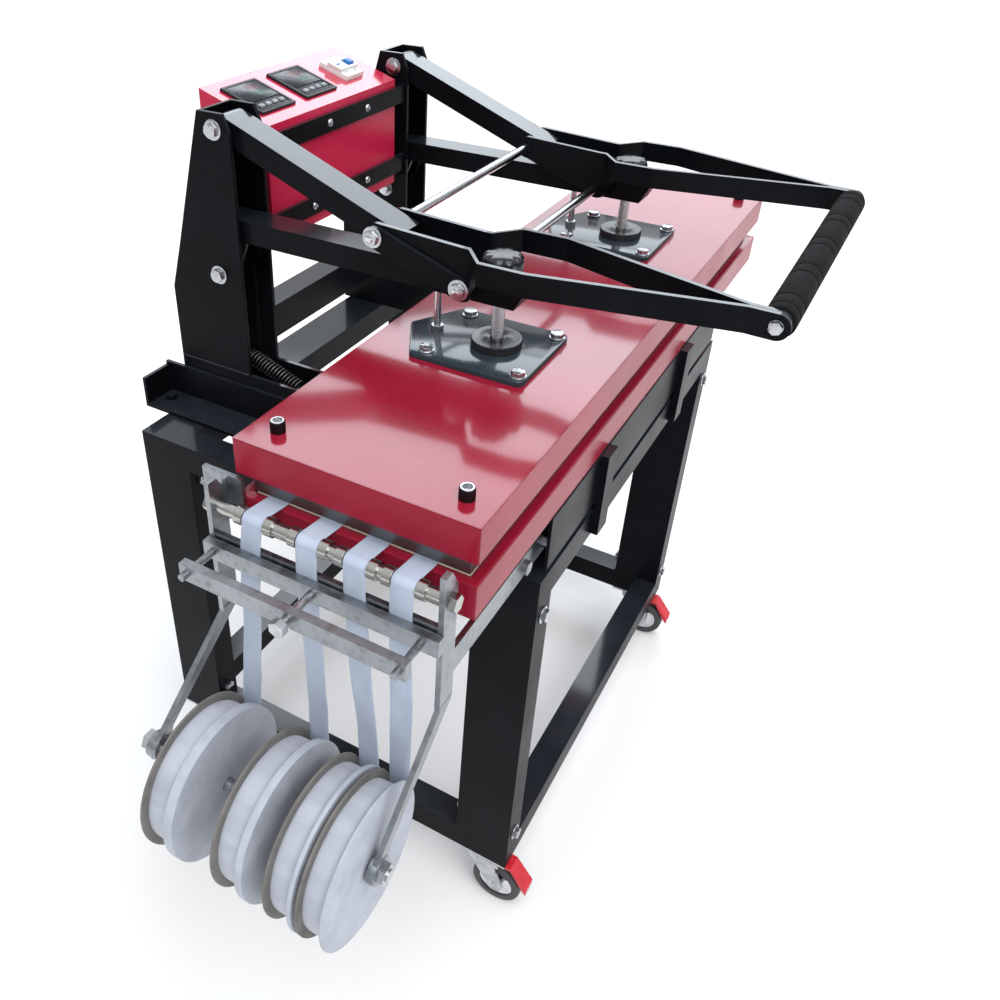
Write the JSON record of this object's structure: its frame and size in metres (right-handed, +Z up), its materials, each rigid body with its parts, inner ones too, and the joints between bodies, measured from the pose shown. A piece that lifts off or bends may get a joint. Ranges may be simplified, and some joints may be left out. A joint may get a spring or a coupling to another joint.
{
  "type": "lanyard heat press",
  "caption": "Manual toggle heat press on a wheeled stand, with a long platen over a padded bed and a feed end that carries reels of tape.",
  "frame": {"origin": "on the floor, under the middle of the machine's overall box", "axes": "+X along the platen away from the feed end, +Y towards the columns, +Z up"},
  "size_m": [1.2338, 0.8084, 1.0519],
  "materials": {
    "stand_paint": "satin black paint",
    "red_paint": "gloss red paint",
    "zinc": "zinc plated",
    "bright_steel": "ground bright steel",
    "galvanized": "galvanized, mottled",
    "cap_black": "blacked steel",
    "heat_alu": "machined",
    "spring_steel": "oiled spring wire",
    "wheel_grey": "grey wheel with pale cover",
    "pedal_red": "gloss",
    "silicone": "matt cream sheet",
    "board": "pressed board",
    "meter_black": "fine texture",
    "toggle_blue": "gloss",
    "key_grey": "matt",
    "foam": "black foam",
    "knob_black": "moulded",
    "tape_white": "smooth woven ribbon",
    "reel_white": "card flanges, ribbon winding"
  },
  "bodies": {
    "stand": {"stand_side_frames": "stand_paint", "stand_end_frames": "stand_paint", "frame_bolts": "zinc", "caster_plates": "zinc", "base_channels": "stand_paint", "front_rail": "stand_paint", "cross_tubes": "stand_paint", "lower_tray": "red_paint", "bed_board": "board", "silicone_pad": "silicone", "columns": "stand_paint", "control_box": "red_paint", "control_bars": "stand_paint", "panel_instruments": "meter_black", "pivot_bolts": "zinc", "feed_plate_front": "galvanized", "feed_plate_back": "galvanized", "roller_shaft": "bright_steel", "tape_brake_frame": "galvanized", "reel_axle": "zinc", "lanyard_tapes": "tape_white", "return_springs": "spring_steel"},
    "arm": {"arms": "stand_paint"},
    "link": {"links": "stand_paint"},
    "lever": {"lever_bars": "stand_paint", "cross_shafts": "bright_steel", "handle_rod": "zinc", "foam_grip": "foam"},
    "platen": {"upper_cover": "red_paint", "heating_plate": "heat_alu", "head_bolts": "cap_black", "mounting_plates": "cap_black", "spindles": "bright_steel"},
    "knob_near": {"pressure_knob_near": "knob_black"},
    "knob_far": {"pressure_knob_far": "knob_black"},
    "clamp": {"clamp_bar": "galvanized"},
    "clamp_screw": {"clamp_screw": "zinc"},
    "toggle": {"breaker_toggle": "toggle_blue"},
    "reel_1": {"reel_1": "reel_white"},
    "reel_2": {"reel_2": "reel_white"},
    "reel_3": {"reel_3": "reel_white"},
    "reel_4": {"reel_4": "reel_white"},
    "fork_1": {"caster_fork_1": "zinc"},
    "wheel_1": {"caster_wheel_1": "wheel_grey"},
    "pedal_1": {"caster_pedal_1": "pedal_red"},
    "fork_2": {"caster_fork_2": "zinc"},
    "wheel_2": {"caster_wheel_2": "wheel_grey"},
    "pedal_2": {"caster_pedal_2": "pedal_red"},
    "fork_3": {"caster_fork_3": "zinc"},
    "wheel_3": {"caster_wheel_3": "wheel_grey"},
    "fork_4": {"caster_fork_4": "zinc"},
    "wheel_4": {"caster_wheel_4": "wheel_grey"},
    "key_1": {"key_1": "key_grey"},
    "key_2": {"key_2": "key_grey"},
    "key_3": {"key_3": "key_grey"},
    "key_4": {"key_4": "key_grey"},
    "key_5": {"key_5": "key_grey"},
    "key_6": {"key_6": "key_grey"},
    "key_7": {"key_7": "key_grey"},
    "key_8": {"key_8": "key_grey"}
  },
  "joints": [
    {"name": "arm_tilt", "type": "hinge", "parent": "stand", "child": "arm", "pos_m": [0.1044, 0.28935, 0.8417], "axis": [-1, 0, 0], "range_deg": [0, 6], "deforming": ["return_springs"]},
    {"name": "link_swing", "type": "hinge", "parent": "stand", "child": "link", "pos_m": [0.1044, 0.27655, 1.0283], "axis": [-1, 0, 0], "range_deg": [0, 18.75]},
    {"name": "lever_swing", "type": "hinge", "parent": "arm", "child": "lever", "pos_m": [0.1044, -0.06075, 0.905], "axis": [1, 0, 0], "range_deg": [0, 29.15]},
    {"name": "platen_height", "type": "slide", "parent": "arm", "child": "platen", "axis": [0, 0, 1], "range_m": [0, 0.003]},
    {"name": "knob_turn_near", "type": "hinge", "parent": "arm", "child": "knob_near", "pos_m": [-0.1016, -0.09475, 0.92], "axis": [0, 0, 1], "range_deg": [0, 270.1]},
    {"name": "knob_turn_far", "type": "hinge", "parent": "arm", "child": "knob_far", "pos_m": [0.3104, -0.09475, 0.92], "axis": [0, 0, 1], "range_deg": [0, 270.1]},
    {"name": "clamp_slide", "type": "slide", "parent": "stand", "child": "clamp", "axis": [-1, 0, 0], "range_m": [0, 0.006]},
    {"name": "clamp_screw_turn", "type": "hinge", "parent": "clamp", "child": "clamp_screw", "pos_m": [-0.4956, -0.07775, 0.711], "axis": [-1, 0, 0], "range_deg": [0, 1440.1]},
    {"name": "reel_spin_1", "type": "hinge", "parent": "stand", "child": "reel_1", "pos_m": [-0.5282, 0.01125, 0.4566], "axis": [0, 1, 0], "continuous": true},
    {"name": "reel_spin_2", "type": "hinge", "parent": "stand", "child": "reel_2", "pos_m": [-0.5282, -0.08375, 0.4566], "axis": [0, 1, 0], "continuous": true},
    {"name": "reel_spin_3", "type": "hinge", "parent": "stand", "child": "reel_3", "pos_m": [-0.5282, -0.14425, 0.4566], "axis": [0, 1, 0], "continuous": true},
    {"name": "reel_spin_4", "type": "hinge", "parent": "stand", "child": "reel_4", "pos_m": [-0.5282, -0.17975, 0.4566], "axis": [0, 1, 0], "continuous": true},
    {"name": "caster_swivel_1", "type": "hinge", "parent": "stand", "child": "fork_1", "pos_m": [-0.2206, -0.19175, 0.09], "axis": [0, 0, 1], "continuous": true},
    {"name": "wheel_roll_1", "type": "hinge", "parent": "fork_1", "child": "wheel_1", "pos_m": [-0.2206, -0.21675, 0.0375], "axis": [1, 0, 0], "continuous": true},
    {"name": "pedal_press_1", "type": "hinge", "parent": "fork_1", "child": "pedal_1", "pos_m": [-0.2206, -0.21635, 0.081], "axis": [1, 0, 0], "range_deg": [0, 4], "stiffness_Nm_per_rad": 2},
    {"name": "caster_swivel_2", "type": "hinge", "parent": "stand", "child": "fork_2", "pos_m": [0.4294, -0.19175, 0.09], "axis": [0, 0, 1], "continuous": true},
    {"name": "wheel_roll_2", "type": "hinge", "parent": "fork_2", "child": "wheel_2", "pos_m": [0.4294, -0.21675, 0.0375], "axis": [1, 0, 0], "continuous": true},
    {"name": "pedal_press_2", "type": "hinge", "parent": "fork_2", "child": "pedal_2", "pos_m": [0.4294, -0.21635, 0.081], "axis": [1, 0, 0], "range_deg": [0, 4], "stiffness_Nm_per_rad": 2},
    {"name": "caster_swivel_3", "type": "hinge", "parent": "stand", "child": "fork_3", "pos_m": [-0.2206, 0.32325, 0.09], "axis": [0, 0, 1], "continuous": true},
    {"name": "wheel_roll_3", "type": "hinge", "parent": "fork_3", "child": "wheel_3", "pos_m": [-0.2206, 0.29825, 0.0375], "axis": [1, 0, 0], "continuous": true},
    {"name": "caster_swivel_4", "type": "hinge", "parent": "stand", "child": "fork_4", "pos_m": [0.4294, 0.32325, 0.09], "axis": [0, 0, 1], "continuous": true},
    {"name": "wheel_roll_4", "type": "hinge", "parent": "fork_4", "child": "wheel_4", "pos_m": [0.4294, 0.29825, 0.0375], "axis": [1, 0, 0], "continuous": true},
    {"name": "breaker_switch", "type": "hinge", "parent": "stand", "child": "toggle", "pos_m": [0.2074, 0.31344, 1.03877], "axis": [1, 0, 0], "range_deg": [0, 40]},
    {"name": "key_press_1", "type": "slide", "parent": "stand", "child": "key_1", "axis": [0, 0.3054, -0.9522], "range_m": [0, 0.0008], "stiffness_N_per_m": 400},
    {"name": "key_press_2", "type": "slide", "parent": "stand", "child": "key_2", "axis": [0, 0.3054, -0.9522], "range_m": [0, 0.0008], "stiffness_N_per_m": 400},
    {"name": "key_press_3", "type": "slide", "parent": "stand", "child": "key_3", "axis": [0, 0.3054, -0.9522], "range_m": [0, 0.0008], "stiffness_N_per_m": 400},
    {"name": "key_press_4", "type": "slide", "parent": "stand", "child": "key_4", "axis": [0, 0.3054, -0.9522], "range_m": [0, 0.0008], "stiffness_N_per_m": 400},
    {"name": "key_press_5", "type": "slide", "parent": "stand", "child": "key_5", "axis": [0, 0.3054, -0.9522], "range_m": [0, 0.0008], "stiffness_N_per_m": 400},
    {"name": "key_press_6", "type": "slide", "parent": "stand", "child": "key_6", "axis": [0, 0.3054, -0.9522], "range_m": [0, 0.0008], "stiffness_N_per_m": 400},
    {"name": "key_press_7", "type": "slide", "parent": "stand", "child": "key_7", "axis": [0, 0.3054, -0.9522], "range_m": [0, 0.0008], "stiffness_N_per_m": 400},
    {"name": "key_press_8", "type": "slide", "parent": "stand", "child": "key_8", "axis": [0, 0.3054, -0.9522], "range_m": [0, 0.0008], "stiffness_N_per_m": 400}
  ],
  "couplings": [
    {"joint": "link_swing", "follows": "arm_tilt", "ratio": 3.1234},
    {"joint": "lever_swing", "follows": "arm_tilt", "ratio": 4.8556},
    {"joint": "knob_turn_near", "follows": "platen_height", "rad_per_m": 1570.8},
    {"joint": "knob_turn_far", "follows": "platen_height", "rad_per_m": 1570.8},
    {"joint": "clamp_screw_turn", "follows": "clamp_slide", "rad_per_m": 4188.8}
  ]
}
